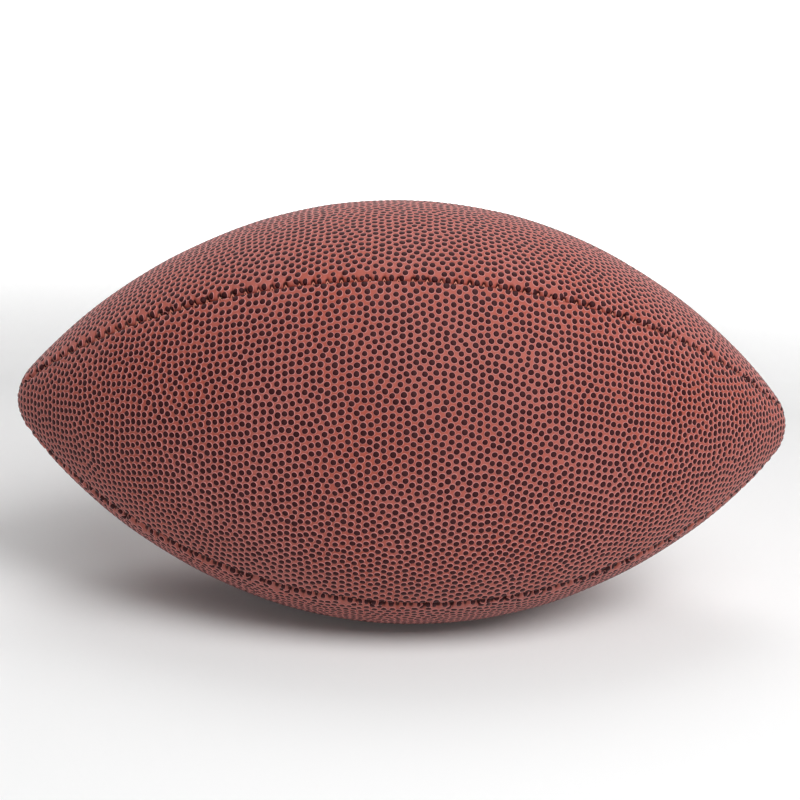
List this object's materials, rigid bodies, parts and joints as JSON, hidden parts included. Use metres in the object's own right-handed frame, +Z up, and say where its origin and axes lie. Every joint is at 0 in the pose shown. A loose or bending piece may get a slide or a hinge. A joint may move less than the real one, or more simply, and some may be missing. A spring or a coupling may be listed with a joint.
{
  "type": "american football",
  "caption": "Laced american football with a pebbled cover of sewn panels, woven linings, an inflatable bladder and a needle valve.",
  "frame": {"origin": "centre of the small flat on the bottom panel that the ball lies on, under the middle of the ball", "axes": "+X along the long axis from tip to tip, +Z up, the lace at the upper back (+Y, +Z)"},
  "size_m": [0.286, 0.1566, 0.1564],
  "materials": {
    "cover": "pebbled, reddish brown with dark pebble tops, satin",
    "pebble": "near black raised pebbles, satin",
    "lining": "plain woven cotton, matte",
    "seam_thread": "waxed dark red brown thread",
    "lace": "off-white coated flat lace, satin",
    "facing": "plain brown, matte",
    "tongue": "felted pad, matte",
    "bladder": "smooth black, satin",
    "valve": "moulded black, matte"
  },
  "bodies": {
    "root": {"cover_panel_front": "cover", "cover_panel_top": "cover", "cover_panel_back": "cover", "cover_panel_bottom": "cover", "lining_panel_front": "lining", "lining_panel_top": "lining", "lining_panel_back": "lining", "lining_panel_bottom": "lining", "seam_thread_upper_front": "seam_thread", "seam_thread_lower_front": "seam_thread", "seam_thread_lower_back": "seam_thread", "seam_thread_lace_seam": "seam_thread", "lace": "lace", "lace_facing_top": "facing", "lace_facing_back": "facing", "lace_tongue": "tongue", "bladder": "bladder", "bladder_patch": "bladder", "valve_body": "valve", "valve_core": "valve"}
  },
  "joints": []
}
